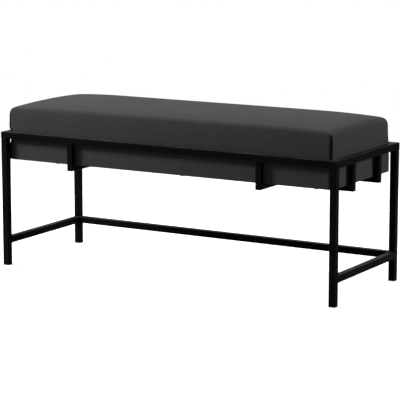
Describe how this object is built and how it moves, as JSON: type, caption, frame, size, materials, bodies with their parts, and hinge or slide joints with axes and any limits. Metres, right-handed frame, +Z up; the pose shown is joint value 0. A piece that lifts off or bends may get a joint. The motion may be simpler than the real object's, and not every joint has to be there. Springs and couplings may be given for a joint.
{
  "type": "entryway bench",
  "caption": "Upholstered bench: a deep padded seat box held in an open square-tube frame, resting on a cradle of bars hung under the top rails.",
  "frame": {"origin": "on the floor, under the middle of the bench", "axes": "+X to the right along the bench, the open front towards -Y, +Z up"},
  "size_m": [1.1, 0.4, 0.489],
  "materials": {
    "frame_steel": "satin",
    "glide_plastic": "matte",
    "seat_fabric": "matte",
    "dust_cloth": "matte",
    "plywood": "matte",
    "foam": "matte",
    "padding": "matte",
    "zinc": "satin"
  },
  "bodies": {
    "root": {"leg_front_left": "frame_steel", "leg_front_right": "frame_steel", "leg_rear_left": "frame_steel", "leg_rear_right": "frame_steel", "glide_front_left": "glide_plastic", "glide_front_right": "glide_plastic", "glide_rear_left": "glide_plastic", "glide_rear_right": "glide_plastic", "rail_front": "frame_steel", "rail_rear": "frame_steel", "rail_left": "frame_steel", "rail_right": "frame_steel", "stretcher_left": "frame_steel", "stretcher_right": "frame_steel", "stretcher_rear": "frame_steel", "long_bar_front": "frame_steel", "long_bar_rear": "frame_steel", "long_hanger_front_left": "frame_steel", "long_hanger_front_right": "frame_steel", "long_hanger_rear_left": "frame_steel", "long_hanger_rear_right": "frame_steel", "cross_bar_left_front": "frame_steel", "cross_bar_left_middle": "frame_steel", "cross_bar_left_rear": "frame_steel", "cross_bar_right_front": "frame_steel", "cross_bar_right_middle": "frame_steel", "cross_bar_right_rear": "frame_steel", "cross_hanger_left_front": "frame_steel", "cross_hanger_left_rear": "frame_steel", "cross_hanger_right_front": "frame_steel", "cross_hanger_right_rear": "frame_steel", "base_panel": "plywood", "board_front": "plywood", "board_rear": "plywood", "board_left": "plywood", "board_right": "plywood", "rib_left": "plywood", "rib_right": "plywood", "corner_blocks": "plywood", "deck_panel": "plywood", "side_padding": "padding", "foam_block": "foam", "seat_cover": "seat_fabric", "dust_cloth": "dust_cloth", "cover_staples": "zinc", "cloth_staples": "zinc", "wood_screws": "zinc", "seat_bolts": "zinc", "seat_washers": "zinc", "tee_nuts": "zinc"}
  },
  "joints": []
}
